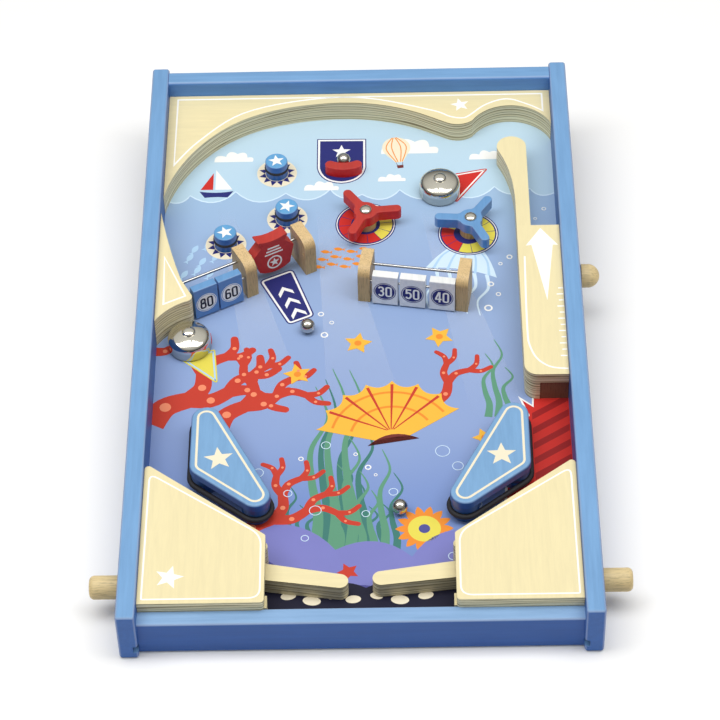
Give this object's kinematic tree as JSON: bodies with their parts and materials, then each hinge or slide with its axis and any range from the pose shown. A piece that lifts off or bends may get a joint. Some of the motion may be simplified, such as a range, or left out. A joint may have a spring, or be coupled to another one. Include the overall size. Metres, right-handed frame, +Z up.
{
  "type": "tabletop pinball game",
  "caption": "Sloping wooden tray with plywood guides, flippers worked by side buttons, a sprung ball launcher, swinging targets, spinners, bells, bumpers and steel balls.",
  "frame": {"origin": "middle of the footprint, on the table that the game stands on", "axes": "+X to the player's right, +Y away from the player, +Z up; the deck rises towards +Y"},
  "size_m": [0.418, 0.6216, 0.0846],
  "materials": {
    "blue_painted_wood": "satin paint",
    "printed_panel": "printed, satin varnish",
    "pale_plywood": "satin varnish, layered edges",
    "natural_beech": "satin varnish",
    "dark_painted_wood": "satin paint",
    "sky_blue_wood": "gloss paint",
    "red_painted_wood": "gloss paint",
    "white_painted_wood": "gloss paint",
    "black_rubber": "matte",
    "chromed_steel": "polished",
    "plain_steel": "bright"
  },
  "bodies": {
    "cabinet": {"side_rail_left": "blue_painted_wood", "side_rail_right": "blue_painted_wood", "front_rail": "blue_painted_wood", "back_rail": "blue_painted_wood", "playfield_panel": "printed_panel", "rear_feet": "dark_painted_wood", "rail_dowels": "natural_beech", "arch_guide": "pale_plywood", "left_guide": "pale_plywood", "lane_divider": "pale_plywood", "start_cover": "pale_plywood", "lane_stop": "pale_plywood", "launcher_spring": "plain_steel", "corner_cover_left": "pale_plywood", "corner_cover_right": "pale_plywood", "corner_wall_left": "pale_plywood", "corner_wall_right": "pale_plywood", "corner_spacers": "pale_plywood", "flipper_pivots": "plain_steel", "return_band_left": "black_rubber", "return_band_right": "black_rubber", "band_pegs": "plain_steel", "slingshot_top_left": "sky_blue_wood", "slingshot_top_right": "sky_blue_wood", "slingshot_posts_left": "sky_blue_wood", "slingshot_posts_right": "sky_blue_wood", "slingshot_band_left": "black_rubber", "slingshot_band_right": "black_rubber", "bumper_post_1": "sky_blue_wood", "bumper_post_2": "sky_blue_wood", "bumper_post_3": "sky_blue_wood", "bumper_rings": "black_rubber", "ball_cup": "red_painted_wood", "spinner_spacers": "natural_beech", "spinner_pins": "chromed_steel", "bell_upper": "chromed_steel", "bell_lower": "chromed_steel", "bell_posts": "plain_steel", "bell_screws": "chromed_steel", "wide_gate_posts": "natural_beech", "wide_gate_rods": "plain_steel", "angled_gate_posts": "natural_beech", "angled_gate_rods": "plain_steel"},
    "flipper_left": {"flipper_left": "pale_plywood"},
    "flipper_right": {"flipper_right": "pale_plywood"},
    "button_left": {"flipper_button_left": "natural_beech"},
    "button_right": {"flipper_button_right": "natural_beech"},
    "launcher": {"launcher_slider": "natural_beech", "launcher_knob": "natural_beech"},
    "red_spinner": {"spinner_red": "red_painted_wood"},
    "blue_spinner": {"spinner_blue": "sky_blue_wood"},
    "white_target_1": {"wide_gate_block_1": "white_painted_wood"},
    "white_target_2": {"wide_gate_block_2": "white_painted_wood"},
    "white_target_3": {"wide_gate_block_3": "white_painted_wood"},
    "blue_target_1": {"angled_gate_block_1": "sky_blue_wood"},
    "blue_target_2": {"angled_gate_block_2": "sky_blue_wood"},
    "flap": {"tail_flap": "red_painted_wood"},
    "ball_one": {"ball_1": "chromed_steel"},
    "ball_two": {"ball_2": "chromed_steel"},
    "ball_three": {"ball_3": "chromed_steel"}
  },
  "joints": [
    {"name": "flipper_left_turn", "type": "hinge", "parent": "cabinet", "child": "flipper_left", "pos_m": [-0.084, -0.23902, 0.01829], "axis": [0, -0.0565, 0.9984], "range_deg": [0, 35], "stiffness_Nm_per_rad": 0.05, "springref_deg": -17.19, "deforming": ["return_band_left"]},
    {"name": "button_left_push", "type": "slide", "parent": "cabinet", "child": "button_left", "axis": [1, 0, 0], "range_m": [0, 0.0124]},
    {"name": "flipper_right_turn", "type": "hinge", "parent": "cabinet", "child": "flipper_right", "pos_m": [0.084, -0.23902, 0.01829], "axis": [0, 0.0565, -0.9984], "range_deg": [0, 35], "stiffness_Nm_per_rad": 0.05, "springref_deg": -17.19, "deforming": ["return_band_right"]},
    {"name": "button_right_push", "type": "slide", "parent": "cabinet", "child": "button_right", "axis": [-1, 0, 0], "range_m": [0, 0.0124]},
    {"name": "launcher_pull", "type": "slide", "parent": "cabinet", "child": "launcher", "axis": [0, -0.9984, -0.0565], "range_m": [0, 0.06], "stiffness_N_per_m": 60, "springref_m": -0.01, "deforming": ["launcher_spring"]},
    {"name": "red_spin", "type": "hinge", "parent": "cabinet", "child": "red_spinner", "pos_m": [0.00527, 0.14178, 0.04763], "axis": [0, -0.0565, 0.9984], "continuous": true},
    {"name": "blue_spin", "type": "hinge", "parent": "cabinet", "child": "blue_spinner", "pos_m": [0.09537, 0.13091, 0.04702], "axis": [0, -0.0565, 0.9984], "continuous": true},
    {"name": "white_target_1_swing", "type": "hinge", "parent": "cabinet", "child": "white_target_1", "pos_m": [0.00897, 0.05223, 0.05629], "axis": [0.9866, -0.1631, -0.0092], "range_deg": [-90, 92]},
    {"name": "white_target_2_swing", "type": "hinge", "parent": "cabinet", "child": "white_target_2", "pos_m": [0.00897, 0.05223, 0.05629], "axis": [0.9866, -0.1631, -0.0092], "range_deg": [-90, 92]},
    {"name": "white_target_3_swing", "type": "hinge", "parent": "cabinet", "child": "white_target_3", "pos_m": [0.00897, 0.05223, 0.05629], "axis": [0.9866, -0.1631, -0.0092], "range_deg": [-90, 92]},
    {"name": "blue_target_1_swing", "type": "hinge", "parent": "cabinet", "child": "blue_target_1", "pos_m": [-0.09677, 0.05877, 0.05666], "axis": [0.8829, 0.4687, 0.0265], "range_deg": [-90, 92]},
    {"name": "blue_target_2_swing", "type": "hinge", "parent": "cabinet", "child": "blue_target_2", "pos_m": [-0.09677, 0.05877, 0.05666], "axis": [0.8829, 0.4687, 0.0265], "range_deg": [-90, 92]},
    {"name": "flap_swing", "type": "hinge", "parent": "cabinet", "child": "flap", "pos_m": [-0.07495, 0.0857, 0.0648], "axis": [0.8829, 0.4687, 0.0265], "range_deg": [-85, 85]},
    {"name": "ball_one_roll", "type": "slide", "parent": "cabinet", "child": "ball_one", "axis": [0, 0.9984, 0.0565], "range_m": [-0.21, 0.03]},
    {"name": "ball_two_roll", "type": "slide", "parent": "cabinet", "child": "ball_two", "axis": [0, 0.9984, 0.0565], "range_m": [-0.028, 0.15]},
    {"name": "ball_three_roll", "type": "slide", "parent": "cabinet", "child": "ball_three", "axis": [0, 0.9984, 0.0565], "range_m": [0, 0.045]}
  ],
  "couplings": [
    {"joint": "button_left_push", "follows": "flipper_left_turn", "m_per_rad": 0.02013},
    {"joint": "button_right_push", "follows": "flipper_right_turn", "m_per_rad": 0.02013}
  ]
}
